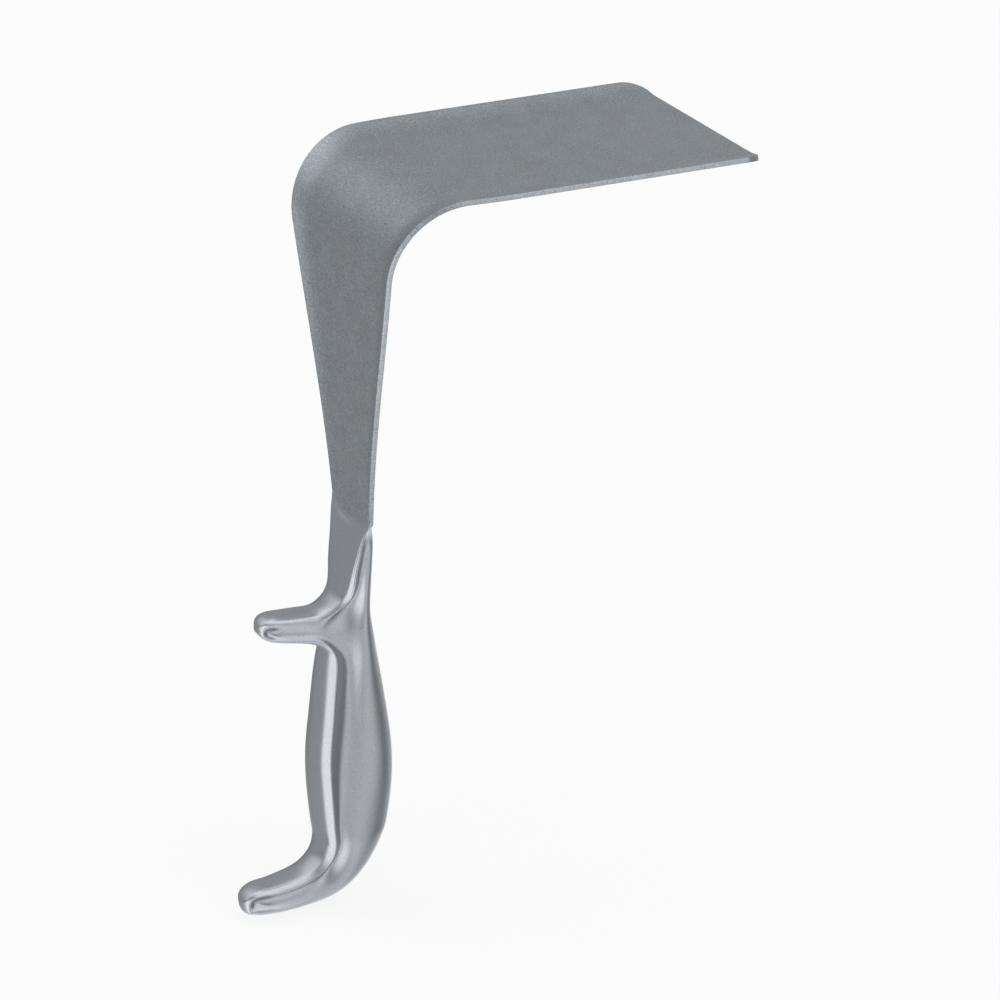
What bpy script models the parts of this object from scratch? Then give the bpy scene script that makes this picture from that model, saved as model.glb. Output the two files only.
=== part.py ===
"""Hand-held abdominal retractor: a formed sheet blade and shank in a hollow, two-shell handle.

Metres, +Z up along the handle and the shank, the blade pointing to +X, its width along Y.
The origin lies inside the grip, on the plane of the shank and the middle plane of the handle.
"""

import math

import bmesh
import bpy
import numpy as np

# The neck's mouth, where the sheet goes into the handle. Depths below are measured down from it.
MOUTH_HEIGHT = 0.0850

# The sheet: blade, bend, shank and tang.
SHEET_THICKNESS = 0.0016
SHEET_EDGE_ROUND = 0.0005
SHANK_WIDTH = 0.0286
SHANK_LENGTH = 0.0897
SHANK_FLARE = 0.125
BEND_RADIUS = 0.0225
BLADE_ANGLE = math.radians(90.0)
BLADE_WIDTH = 0.0908
BLADE_REACH = 0.1265
BLADE_CORNER_RADIUS = 0.0078
WIDENING_LENGTH = 0.1413
LIP_WIDTH = 0.0128
LIP_RISE = 0.0024
TANG_WIDTH = 0.0092
TANG_LENGTH = 0.0240
SHOULDER_TOP = 0.0010
SHOULDER_LENGTH = 0.0040

# The handle's walls and fits.
WALL = 0.0012
CLEARANCE = 0.0003
SEAM_GAP = 0.0003
MOUTH_DIP = 0.0022
CAVITY_TOP = 0.0075
BRAZE_TOP = 0.0105
BRAZE_LENGTH = 0.0105

# The neck, a wide flange in front of a narrower spine.
NECK_FRONT = 0.0027
NECK_LEAN = 0.0052
NECK_BACK = 0.0046
NECK_WIDTH = 0.0270
FLANGE_ROLL = 0.0012
FLANGE_OVERHANG = 0.0020
SPINE_WIDTH = 0.0134
SPINE_FLARE = 0.0019

# The hook above the fingers.
HOOK_DEPTH = 0.0366
HOOK_REACH = 0.0349
HOOK_HEIGHT = 0.0093
HOOK_THICKNESS = 0.0112
HOOK_RISE = math.radians(7.0)
HOOK_ROOT = 0.0047

# The grip in the palm: a flat front between two rolled rims, a groove behind each, then the body.
GRIP_FRONT = 0.0169
GRIP_BACK = 0.0115
RIM_WIDTH = 0.0178
RIM_ROLL = 0.0041
RIM_DEPTH = 0.0034
GROOVE_PLACE = 0.0091
GROOVE_DEPTH = 0.0013
BODY_WIDTH = 0.0148
BAY_LENGTH = 0.0790

# The pommel, curled forward under the little finger. Its sides and the hook's have shallow pockets.
POMMEL_REACH = 0.0438
POMMEL_FALL = 0.0054
POMMEL_HEIGHT = 0.0120
POMMEL_THICKNESS = 0.0126
POCKET_DEPTH = 0.0012

FORM_LEVEL = 2
CAVITY_LEVEL = 1

COLLECTION = "abdominal_retractor"


def clear_scene():
    """Start from nothing."""
    for obj in list(bpy.data.objects):
        bpy.data.objects.remove(obj, do_unlink=True)


def new_collection(name):
    """A collection of its own for the parts or for the cutters."""
    collection = bpy.data.collections.new(name)
    bpy.context.scene.collection.children.link(collection)
    return collection


def steel(name, colour, roughness):
    """A stainless steel finish."""
    material = bpy.data.materials.new(name)
    material.use_nodes = True
    shader = material.node_tree.nodes["Principled BSDF"]
    shader.inputs["Base Color"].default_value = (*colour, 1.0)
    shader.inputs["Metallic"].default_value = 1.0
    shader.inputs["Roughness"].default_value = roughness
    return material


def mesh_object(name, points, faces, collection):
    """A mesh object from points and faces, its normals pointing outwards."""
    mesh = bpy.data.meshes.new(name)
    mesh.from_pydata([tuple(p) for p in points], [], faces)
    form = bmesh.new()
    form.from_mesh(mesh)
    bmesh.ops.recalc_face_normals(form, faces=form.faces)
    form.to_mesh(mesh)
    form.free()
    obj = bpy.data.objects.new(name, mesh)
    collection.objects.link(obj)
    return obj


def hide_cutter(obj):
    """A cutter is only a guide: it shows as wire and isn't part of the object."""
    obj.hide_render = True
    obj.display_type = "WIRE"


def boolean(obj, cutter, operation):
    """Cut obj with another solid, or keep what the two share."""
    modifier = obj.modifiers.new(f"{operation.lower()}_{cutter.name}", "BOOLEAN")
    modifier.operation = operation
    modifier.solver = "EXACT"
    modifier.object = cutter


def smooth(obj, angle=math.radians(40)):
    """Round surfaces shade smooth, real edges stay sharp."""
    obj.data.shade_smooth()
    obj.data.set_sharp_from_angle(angle=angle)


# The sheet


def bend_length():
    """Length of the bend's arc along the middle of the sheet."""
    return BEND_RADIUS * (math.pi - BLADE_ANGLE)


def tip_position():
    """Developed length from the mouth to the blade's end edge."""
    turn = math.pi - BLADE_ANGLE
    arc_reach = BEND_RADIUS * (1 - math.cos(turn))
    straight = (BLADE_REACH - SHEET_THICKNESS / 2 - arc_reach) / math.sin(turn)
    return SHANK_LENGTH + bend_length() + straight


def sheet_point(s):
    """Middle of the sheet at developed length s: its x, its height over the mouth, and the outward normal."""
    if s <= SHANK_LENGTH:
        return 0.0, s, -1.0, 0.0
    turn = min((s - SHANK_LENGTH) / BEND_RADIUS, math.pi - BLADE_ANGLE)
    straight = max(s - SHANK_LENGTH - bend_length(), 0.0)
    x = BEND_RADIUS * (1 - math.cos(turn)) + straight * math.sin(turn)
    z = SHANK_LENGTH + BEND_RADIUS * math.sin(turn) + straight * math.cos(turn)
    return x, z, -math.cos(turn), math.sin(turn)


def blank_half_width(s):
    """Half width of the flat blank, before its corners are rounded: shank, smooth widening, blade."""
    narrow, wide = SHANK_WIDTH / 2, BLADE_WIDTH / 2
    u = min(max(s / WIDENING_LENGTH, 0.0), 1.0)
    start_slope = SHANK_FLARE * WIDENING_LENGTH
    return (
        narrow * (2 * u**3 - 3 * u**2 + 1)
        + start_slope * (u**3 - 2 * u**2 + u)
        + wide * (3 * u**2 - 2 * u**3)
    )


def cut_half_width(s):
    """Half width of the sheet as cut: tang, shoulders, shank, blade with round corners."""
    half = blank_half_width(s)
    corner_start = tip_position() - BLADE_CORNER_RADIUS
    if s > corner_start:
        along = min(s - corner_start, BLADE_CORNER_RADIUS)
        return half - BLADE_CORNER_RADIUS + math.sqrt(BLADE_CORNER_RADIUS**2 - along**2)
    if s < SHOULDER_TOP:
        down = min((SHOULDER_TOP - s) / SHOULDER_LENGTH, 1.0)
        step = half - TANG_WIDTH / 2
        return half - step * (1 - math.sqrt(1 - down**2))
    return half


def lip_height(s, y):
    """How far the sheet's side edge is turned outwards at a distance y from the middle."""
    half = blank_half_width(s)
    width = LIP_WIDTH * half / (BLADE_WIDTH / 2)
    inside = half - width
    grown = min(max(s / SHANK_LENGTH, 0.0), 1.0)
    return LIP_RISE * grown * max((abs(y) - inside) / width, 0.0) ** 2


def sheet_rows():
    """Developed lengths at which the sheet gets a row of points, closest where it curves."""
    straight_step, corner_steps, bend_steps = 0.012, 7, 12
    corner_start = tip_position() - BLADE_CORNER_RADIUS
    bend_end = SHANK_LENGTH + bend_length()
    shoulder = [SHOULDER_TOP - SHOULDER_LENGTH * math.sin(math.pi / 2 * k / 5) for k in range(6)]
    rows = [-TANG_LENGTH, *reversed(shoulder)]
    rows += list(np.linspace(SHOULDER_TOP, SHANK_LENGTH, round(SHANK_LENGTH / straight_step) + 1)[1:])
    rows += list(np.linspace(SHANK_LENGTH, bend_end, bend_steps + 1)[1:])
    blade_steps = max(round((corner_start - bend_end) / straight_step), 1)
    rows += list(np.linspace(bend_end, corner_start, blade_steps + 1)[1:])
    for k in range(1, corner_steps + 1):
        rows.append(corner_start + BLADE_CORNER_RADIUS * math.sin(math.pi / 2 * k / corner_steps))
    return rows


def sheet_columns():
    """Places across the sheet as shares of its half width, closest on the turned edges."""
    flat = 1 - LIP_WIDTH / (BLADE_WIDTH / 2)
    half = [0.0, flat / 2, flat] + [flat + (1 - flat) * k / 4 for k in (1, 2, 3, 4)]
    return [-v for v in reversed(half[1:])] + half


def sheet_surface(name, rows, columns, grow, collection):
    """The sheet's middle surface as an open grid, with its width grown on both sides."""
    points, faces = [], []
    for s in rows:
        x, z, nx, nz = sheet_point(s)
        half = cut_half_width(s) + grow
        for v in columns:
            y = v * half
            out = lip_height(s, y)
            points.append((x + nx * out, y, MOUTH_HEIGHT + z + nz * out))
    wide = len(columns)
    for i in range(len(rows) - 1):
        for j in range(wide - 1):
            a = i * wide + j
            faces.append((a, a + 1, a + 1 + wide, a + wide))
    return mesh_object(name, points, faces, collection)


def thicken(obj, thickness):
    """Sheet thickness, half to each side of the middle surface."""
    solid = obj.modifiers.new("thickness", "SOLIDIFY")
    solid.thickness = thickness
    solid.offset = 0.0
    solid.use_even_offset = True


def make_blade(collection, material):
    """Blade, bend, shank and tang in one formed sheet with rounded edges."""
    blade = sheet_surface("blade", sheet_rows(), sheet_columns(), 0.0, collection)
    thicken(blade, SHEET_THICKNESS)
    edge = blade.modifiers.new("rounded_edges", "BEVEL")
    edge.width = SHEET_EDGE_ROUND
    edge.segments = 2
    edge.limit_method = "ANGLE"
    edge.angle_limit = math.radians(60)
    blade.data.materials.append(material)
    smooth(blade)
    return blade


def make_tang_slot(collection):
    """The room that the sheet's end takes in the handle, a clearance larger all round."""
    above = 0.012
    rows = [-TANG_LENGTH - CLEARANCE]
    rows += [s for s in sheet_rows() if -TANG_LENGTH < s <= SHOULDER_TOP]
    rows.append(above)
    slot = sheet_surface("tang_slot", rows, [-1.0, 1.0], CLEARANCE, collection)
    thicken(slot, SHEET_THICKNESS + 2 * CLEARANCE)
    hide_cutter(slot)
    return slot


# The handle's form


def section(front, back, rim, roll, groove, side, heel=(0.72, 0.70)):
    """One rib of the handle: seven points from the front middle, round one side, to the back middle.

    front and back are (x, depth) in the middle plane and rim is the half width at the rim. roll is how
    far the rim's rounding goes (across, back). groove and side are (distance from the front, half width).
    heel is (share of the way from the side to the back, share of the side's half width).
    """
    front, back = np.array(front), np.array(back)
    whole = np.linalg.norm(back - front)
    across, deep = roll
    places = [0.0, 0.0, deep, groove[0], side[0], side[0] + heel[0] * (whole - side[0]), whole]
    widths = [0.0, rim - across, rim, groove[1], side[1], heel[1] * side[1], 0.0]
    along = (back - front) / whole
    return [(*(front + along * place), width) for place, width in zip(places, widths, strict=True)]


def neck_section(depth, share):
    """Neck at a share of the way from the mouth (0) to the hook (1): a flange in front of a spine."""
    wide, narrow = NECK_WIDTH / 2, HOOK_THICKNESS / 2 + FLANGE_OVERHANG
    rim = wide + (narrow - wide) * share**1.8
    front = -NECK_FRONT - NECK_LEAN * share**2.4
    whole = NECK_BACK - front
    roll = (FLANGE_ROLL * (1 + 1.3 * share), FLANGE_ROLL * (0.75 + 1.1 * share))
    side = SPINE_WIDTH / 2 + SPINE_FLARE * (1 - share)**3
    groove = (roll[1] + FLANGE_ROLL * (0.75 + 1.5 * share), side + SPINE_FLARE * (0.95 - 1.7 * share))
    heel = (0.72, 0.78)
    return section((front, depth), (NECK_BACK, depth), rim, roll, groove, (0.6 * whole, side), heel)


def handle_sections():
    """Ribs down the handle, from above the mouth to the pommel's tip."""
    hook_top = HOOK_DEPTH - HOOK_HEIGHT / 2
    hook_under = HOOK_DEPTH + HOOK_HEIGHT / 2
    rim, body = RIM_WIDTH / 2, BODY_WIDTH / 2
    spine = SPINE_WIDTH / 2
    above_mouth = 0.008
    ribs = [neck_section(-above_mouth, 0.0)]
    ribs += [neck_section(share * hook_top * 0.84, share) for share in (0.12, 0.42, 0.72, 1.0)]
    beside_hook = [(hook_top + 0.0016, 0.96, NECK_BACK), (hook_under - 0.0014, 1.04, 1.2 * NECK_BACK)]
    for depth, wide, back in beside_hook:
        ribs.append([None, None, None, (-HOOK_ROOT, depth, wide * HOOK_THICKNESS / 2),
                     (0.0, depth, 1.04 * spine), (0.76 * back, depth, 0.74 * spine), (back, depth, 0.0)])
    bay_top = hook_under + 0.0020
    grip = [
        # share of the bay; shares of front, back, rim, body and groove place; where the side is
        (0.055, 0.763, 0.565, 0.80, 0.946, 0.85, 0.67),
        (0.17, 0.834, 0.704, 0.91, 0.905, 0.99, 0.63),
        (0.33, 0.917, 0.87, 0.966, 0.946, 1.03, 0.616),
        (0.50, 1.0, 1.0, 1.0, 1.0, 1.0, 0.606),
        (0.67, 0.988, 0.991, 1.056, 1.08, 0.81, 0.548),
    ]
    for share, front_k, back_k, rim_k, body_k, groove_k, side_at in grip:
        depth = bay_top + share * BAY_LENGTH
        front, back = -GRIP_FRONT * front_k, GRIP_BACK * back_k
        ribs.append(section(
            (front, depth), (back, depth), rim * rim_k, (RIM_ROLL, RIM_DEPTH),
            (GROOVE_PLACE * groove_k, body * body_k - GROOVE_DEPTH),
            (side_at * (back - front), body * body_k)))
    return ribs + pommel_sections(bay_top + 0.955 * BAY_LENGTH)


def pommel_sections(corner):
    """Ribs turning from level to upright round the heel, then out along the pommel to its tip."""
    top = corner + POMMEL_FALL
    low = top + POMMEL_HEIGHT
    out = POMMEL_REACH - GRIP_FRONT
    half, rim, body = POMMEL_THICKNESS / 2, RIM_WIDTH / 2, BODY_WIDTH / 2

    def x(share):
        return -GRIP_FRONT - share * out

    ribs = [
        section((-0.90 * GRIP_FRONT, corner - 0.0059), (0.68 * GRIP_BACK, low - 0.0225), 0.955 * rim,
                (0.93 * RIM_ROLL, 0.85 * RIM_DEPTH), (0.0054, 1.10 * body - GROOVE_DEPTH),
                (0.0104, 1.10 * body)),
        section((-0.96 * GRIP_FRONT, corner - 0.0017), (0.28 * GRIP_BACK, low - 0.0137), 0.89 * rim,
                (0.85 * RIM_ROLL, 0.79 * RIM_DEPTH), (0.0050, body - 0.77 * GROOVE_DEPTH), (0.0094, body)),
    ]
    forms = [
        # shares of the way out on top and below; down from the top line, up from the low line; shares of
        # rim, roll, upper panel, pocket depth and lower rim
        (0.074, -0.44, -0.0041, 0.0064, 1.14, 0.78, 0.94, -0.16, 0.89),
        (0.227, -0.074, -0.0019, 0.0025, 1.06, 0.73, 0.91, 0.72, 0.90),
        (0.640, 0.610, 0.0001, 0.0002, 0.95, 0.64, 0.84, 1.40, 0.86),
        (0.903, 0.892, 0.0021, 0.0024, 0.75, 0.46, 0.64, 2.45, 0.63),
        (0.985, 0.978, 0.0046, 0.0044, 0.38, 0.24, 0.35, 3.45, 0.30),
    ]
    for over, under, drop, lift, rim_k, roll_k, upper, pressed, lower in forms:
        front, back = (x(over), top + drop), (x(under), low - lift)
        whole = math.dist(front, back)
        roll = (RIM_ROLL * roll_k, min(RIM_DEPTH * roll_k, 0.2 * whole))
        side = half - POCKET_DEPTH * pressed
        ribs.append(section(front, back, half * rim_k, roll, (0.38 * whole, half * upper),
                            (0.62 * whole, side), (0.62, half * lower / side)))
    return ribs


def hook_ring(x, top, low, rim, roll, pocket, lower):
    """Ten points round half the hook: top, rolled ridge, side with a pocket, lower rim, underside."""
    across, deep = roll
    height = low - top
    return [
        (x, top, 0.0), (x, top, rim - across), (x, top + deep, rim),
        (x, top + deep + 0.14 * height, 0.7 * rim + 0.3 * lower - 0.3 * pocket),
        (x, top + 0.48 * height, (rim + lower) / 2 - 0.8 * pocket), (x, top + 0.64 * height, lower - pocket),
        (x, top + 0.78 * height, lower - 0.5 * pocket), (x, top + 0.91 * height, 0.97 * lower),
        (x, top + 0.98 * height, 0.6 * lower), (x, low, 0.0),
    ]


def hook_rings():
    """Rings out along the hook, from its root to its tip."""
    root = HOOK_ROOT + 0.0083
    out = HOOK_REACH - root
    stations = [
        # share of the way out, then shares of the hook's height, rim, lower rim and pocket depth
        (0.0, 1.44, 1.05, 1.0, 0.4),
        (0.26, 1.18, 1.0, 0.93, 0.35),
        (0.76, 0.93, 0.91, 0.875, 0.9),
        (0.925, 0.68, 0.71, 0.69, 0.8),
        (0.985, 0.36, 0.41, 0.40, 0.1),
    ]
    rings = []
    for share, height_k, rim_k, lower_k, pocket_k in stations:
        height = HOOK_HEIGHT * height_k
        rim = HOOK_THICKNESS / 2 * rim_k
        top = HOOK_DEPTH - share * out * math.tan(HOOK_RISE) - height / 2
        rings.append(hook_ring(-root - share * out, top, top + height, rim, (0.49 * rim, 0.19 * height),
                               POCKET_DEPTH * pocket_k, HOOK_THICKNESS / 2 * lower_k))
    return rings


class Cage:
    """A symmetric cage; a point on the middle plane is stored once, any other twice."""

    def __init__(self):
        self.points = []
        self.faces = []

    def add(self, point):
        """Store (x, depth, half width) and give the indices of its right and left copy."""
        x, depth, half = point
        z = MOUTH_HEIGHT - depth
        self.points.append((x, -half, z))
        if half == 0.0:
            return (len(self.points) - 1,) * 2
        self.points.append((x, half, z))
        return len(self.points) - 2, len(self.points) - 1

    def face(self, *corners):
        """A face on the right side and its mirror image on the left."""
        self.faces.append(tuple(c[0] for c in corners))
        self.faces.append(tuple(c[1] for c in reversed(corners)))


def build_cage(ribs, rings):
    """Join the ribs into a strip and grow the hook from the opening that the ribs without a front leave."""
    cage = Cage()
    open_ribs = [i for i, rib in enumerate(ribs) if rib[0] is None]
    upper, lower = open_ribs[0] - 1, open_ribs[-1] + 1
    rows = [[None if p is None else cage.add(p) for p in rib] for rib in ribs]
    for i in range(len(rows) - 1):
        for j in range(6):
            if upper <= i < lower and j < 3:
                continue
            cage.face(rows[i][j], rows[i][j + 1], rows[i + 1][j + 1], rows[i + 1][j])
    for row in (rows[0], rows[-1]):
        cage.face(row[0], row[1], row[5], row[6])
        cage.face(row[1], row[2], row[4], row[5])
        cage.face(row[2], row[3], row[4])
    loop = rows[upper][:4] + [rows[i][3] for i in open_ribs] + rows[lower][3::-1]
    for ring in rings:
        outer = [cage.add(p) for p in ring]
        for j in range(9):
            cage.face(loop[j], loop[j + 1], outer[j + 1], outer[j])
        loop = outer
    for j in range(4):
        cage.face(loop[j], loop[j + 1], loop[8 - j], loop[9 - j])
    return cage


def draw_surface_to_cage(obj, rounds=12):
    """Push the cage outwards until the smooth surface passes through the drawn points."""
    drawn = np.array([v.co for v in obj.data.vertices])
    for _ in range(rounds):
        shaped = obj.evaluated_get(bpy.context.evaluated_depsgraph_get())
        mesh = shaped.to_mesh()
        reached = np.array([mesh.vertices[i].co for i in range(len(drawn))])
        shaped.to_mesh_clear()
        for vertex, miss in zip(obj.data.vertices, drawn - reached, strict=True):
            vertex.co += type(vertex.co)(miss)
        obj.data.update()


def handle_form(name, ribs, rings, level, collection):
    """A closed smooth solid of the handle's form."""
    cage = build_cage(ribs, rings)
    form = mesh_object(name, cage.points, cage.faces, collection)
    surface = form.modifiers.new("smooth_surface", "SUBSURF")
    surface.levels = level
    surface.render_levels = level
    draw_surface_to_cage(form)
    hide_cutter(form)
    return form


def inset_ribs(ribs, inset, top):
    """The same ribs moved in by a wall, starting below the mouth and without the flange's thin sides."""
    inner = []
    for i, rib in enumerate(ribs[1:], start=1):
        front = rib[0] or rib[3]
        back = rib[6]
        along = np.array([back[0] - front[0], back[1] - front[1]])
        along /= np.linalg.norm(along)
        widest = max(rib[4][2] - inset, 0.0006)
        moved = []
        for j, point in enumerate(rib):
            if point is None:
                moved.append(None)
                continue
            shift = {0: inset, 1: inset, 2: inset / 2, 5: -inset / 2, 6: -inset}.get(j, 0.0)
            x, depth = np.array(point[:2]) + along * shift
            half = 0.0 if point[2] == 0.0 else min(max(point[2] - inset, 0.0005), widest)
            moved.append((x, max(depth, top) if i == 1 else depth, half))
        inner.append(moved)
    return inner


def inset_rings(rings, inset):
    """The hook's rings moved in by a wall, the last one short of the tip."""
    inner = []
    for k, ring in enumerate(rings):
        top, low = ring[0][1] + inset, ring[-1][1] - inset
        moved = []
        for x, depth, half in ring:
            share = (depth - ring[0][1]) / (ring[-1][1] - ring[0][1])
            moved.append((x + inset * (k == len(rings) - 1), top + share * (low - top),
                          max(half - inset, 0.0005) if half else 0.0))
        inner.append(moved)
    return inner


def make_box(name, low, high, collection):
    """A box between two corners, used as a cutter."""
    form = bmesh.new()
    bmesh.ops.create_cube(form, size=1.0)
    for vertex in form.verts:
        for k in range(3):
            vertex.co[k] = low[k] if vertex.co[k] < 0 else high[k]
    mesh = bpy.data.meshes.new(name)
    form.to_mesh(mesh)
    form.free()
    obj = bpy.data.objects.new(name, mesh)
    collection.objects.link(obj)
    hide_cutter(obj)
    return obj


def make_mouth_cutter(collection):
    """A wide cylinder through the neck, which leaves the handle's end edge dished across the sheet."""
    half = NECK_WIDTH / 2
    radius = (half**2 + MOUTH_DIP**2) / (2 * MOUTH_DIP)
    form = bmesh.new()
    bmesh.ops.create_cone(form, cap_ends=True, segments=96, radius1=radius, radius2=radius, depth=0.05)
    mesh = bpy.data.meshes.new("mouth_cutter")
    form.to_mesh(mesh)
    form.free()
    obj = bpy.data.objects.new("mouth_cutter", mesh)
    obj.rotation_euler = (0.0, math.pi / 2, 0.0)
    obj.location = (0.0, 0.0, MOUTH_HEIGHT - MOUTH_DIP + radius)
    collection.objects.link(obj)
    hide_cutter(obj)
    return obj


def handle_shell(name, outside, cutters, parts, material):
    """One pressed half of the handle: the form's right (-1) or left (+1) half, hollowed and slotted."""
    shell = bpy.data.objects.new(name, outside.data.copy())
    parts.objects.link(shell)
    surface = shell.modifiers.new("smooth_surface", "SUBSURF")
    surface.levels = FORM_LEVEL
    surface.render_levels = FORM_LEVEL
    boolean(shell, cutters[f"half_space_{name}"], "INTERSECT")
    for cutter in ("handle_cavity", "mouth_cutter", "tang_slot"):
        boolean(shell, cutters[cutter], "DIFFERENCE")
    shell.data.materials.append(material)
    shell.data.shade_smooth()
    return shell


def main():
    clear_scene()
    parts = new_collection(COLLECTION)
    cutters = new_collection("cutters")
    satin = steel("satin_steel", (0.50, 0.52, 0.54), 0.42)
    ground = steel("ground_steel", (0.60, 0.60, 0.62), 0.30)
    filler = steel("braze_filler", (0.66, 0.60, 0.45), 0.45)

    make_blade(parts, satin)
    make_tang_slot(cutters)
    make_mouth_cutter(cutters)

    ribs, rings = handle_sections(), hook_rings()
    outside = handle_form("handle_outside", ribs, rings, FORM_LEVEL, cutters)
    handle_form("handle_cavity", inset_ribs(ribs, WALL, CAVITY_TOP), inset_rings(rings, WALL),
                CAVITY_LEVEL, cutters)
    room = 0.1
    for name, low, high in (("handle_shell_right", -room, -SEAM_GAP / 2),
                            ("handle_shell_left", SEAM_GAP / 2, room)):
        make_box(f"half_space_{name}", (-room, low, -room), (room, high, 2 * room), cutters)
        handle_shell(name, outside, cutters.objects, parts, ground)

    inner = WALL + CLEARANCE
    braze = handle_form("tang_braze", inset_ribs(ribs, inner, CAVITY_TOP + CLEARANCE),
                        inset_rings(rings, inner), CAVITY_LEVEL, parts)
    top = MOUTH_HEIGHT - BRAZE_TOP
    boolean(braze, make_box("braze_room", (-room, -room, top - BRAZE_LENGTH), (room, room, top), cutters),
            "INTERSECT")
    boolean(braze, cutters.objects["tang_slot"], "DIFFERENCE")
    braze.hide_render = False
    braze.display_type = "TEXTURED"
    braze.data.materials.append(filler)


if __name__ == "__main__":
    main()
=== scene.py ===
# %% [markdown]
# # An abdominal retractor in satin steel
# This lesson dresses a finished engineering model. The real instrument is one sheet of steel, bent
# at a right angle into a blade and a shank, with a hollow handle brazed to the shank's end. It
# could be drawn again from nothing, but then the two models would drift apart. So the engineering
# model is loaded as a fixed frame: its pieces are never moved, and what we make here stands for
# them.

# %% Load the engineering model
import math

import bmesh
import bpy
import numpy as np
from mathutils import Matrix, Vector


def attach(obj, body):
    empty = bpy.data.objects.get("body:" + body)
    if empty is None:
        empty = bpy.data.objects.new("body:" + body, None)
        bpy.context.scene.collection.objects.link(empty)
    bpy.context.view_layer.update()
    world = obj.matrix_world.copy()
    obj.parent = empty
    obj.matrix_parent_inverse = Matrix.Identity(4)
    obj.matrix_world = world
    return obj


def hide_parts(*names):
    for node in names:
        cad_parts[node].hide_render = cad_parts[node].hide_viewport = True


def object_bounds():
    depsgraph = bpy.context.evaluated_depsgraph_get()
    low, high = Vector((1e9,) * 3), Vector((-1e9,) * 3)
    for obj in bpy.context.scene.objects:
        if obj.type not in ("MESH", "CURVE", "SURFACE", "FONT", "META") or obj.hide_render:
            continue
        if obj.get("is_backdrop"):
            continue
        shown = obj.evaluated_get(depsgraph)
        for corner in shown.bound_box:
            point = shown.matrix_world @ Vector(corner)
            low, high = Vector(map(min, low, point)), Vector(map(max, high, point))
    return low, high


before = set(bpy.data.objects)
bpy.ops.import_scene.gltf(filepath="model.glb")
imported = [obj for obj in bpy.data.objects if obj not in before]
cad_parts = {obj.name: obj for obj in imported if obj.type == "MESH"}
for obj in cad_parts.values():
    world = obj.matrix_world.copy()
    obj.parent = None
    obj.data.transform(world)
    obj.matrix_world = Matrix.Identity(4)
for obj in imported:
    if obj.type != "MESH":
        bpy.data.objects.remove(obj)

engineering_box = [list(corner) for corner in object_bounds()]
print("engineering model", [round((b - a) * 1000, 1) for a, b in zip(*engineering_box)], "mm")

# %% [markdown]
# ## Sizes
# Everything is in metres. The origin lies inside the grip, on the plane of the shank; the blade
# points to +X and its width runs along Y. The sheet is measured up from the handle's mouth, where
# it goes in, and the handle down from it.

# %% The mouth of the handle
mouth_height = 0.0850
print("mouth", round(mouth_height * 1000, 1), "mm above the origin")

# %% [markdown]
# ## The camera
# The photograph was taken with a long lens, from the front left and a little above. A long lens
# flattens perspective, so the blade's far edge is nearly as long as its near one. A camera can be
# dragged into place by hand; this one is worked out from three angles, a scale and the pixel that
# shows the handle's mouth, so that it can be fitted to an outline.

# %% Camera at the photograph's angle
def photographed_from(turn, tilt, roll, focal_pixels, metres_per_pixel, aim, size=1000, sensor=36.0):
    """A camera whose picture, size pixels wide, shows the handle's mouth at the pixel aim."""
    right = Vector((math.cos(turn), -math.sin(turn), 0))
    up = Vector((math.sin(tilt) * math.sin(turn), math.sin(tilt) * math.cos(turn), math.cos(tilt)))
    ahead = Vector((math.sin(turn) * math.cos(tilt), math.cos(turn) * math.cos(tilt),
                    -math.sin(tilt)))
    across = right * math.cos(roll) - up * math.sin(roll)
    upward = right * math.sin(roll) + up * math.cos(roll)
    camera = bpy.data.objects.new("camera", bpy.data.cameras.new("camera"))
    bpy.context.scene.collection.objects.link(camera)
    camera.data.sensor_width = sensor
    camera.data.lens = focal_pixels / size * sensor
    camera.data.clip_start, camera.data.clip_end = 0.05, 20.0
    offset = across * (aim[0] - size / 2) + upward * (size / 2 - aim[1]) + ahead * focal_pixels
    place = Vector((0, 0, mouth_height)) - offset * metres_per_pixel
    turned = Matrix((across, upward, -ahead)).transposed().to_4x4()
    camera.matrix_world = Matrix.Translation(place) @ turned
    bpy.context.scene.camera = camera
    return camera


camera = photographed_from(turn=0.438, tilt=0.376, roll=0.010, focal_pixels=5500,
                           metres_per_pixel=0.000322, aim=(352.98, 512.05))
print("camera", [round(v, 3) for v in camera.location], "lens", round(camera.data.lens), "mm")

# %% [markdown]
# ## Sums in nodes
# The light, the steel's grain and the shape of the sheet are all worked out by nodes, and a long
# formula is hard to read as a heap of them. Nodes can be laid by hand, one line for each and one
# for each link. A small class lets us write a sum in Python instead: each sign in the sum adds one
# Math node to the tree.

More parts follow.
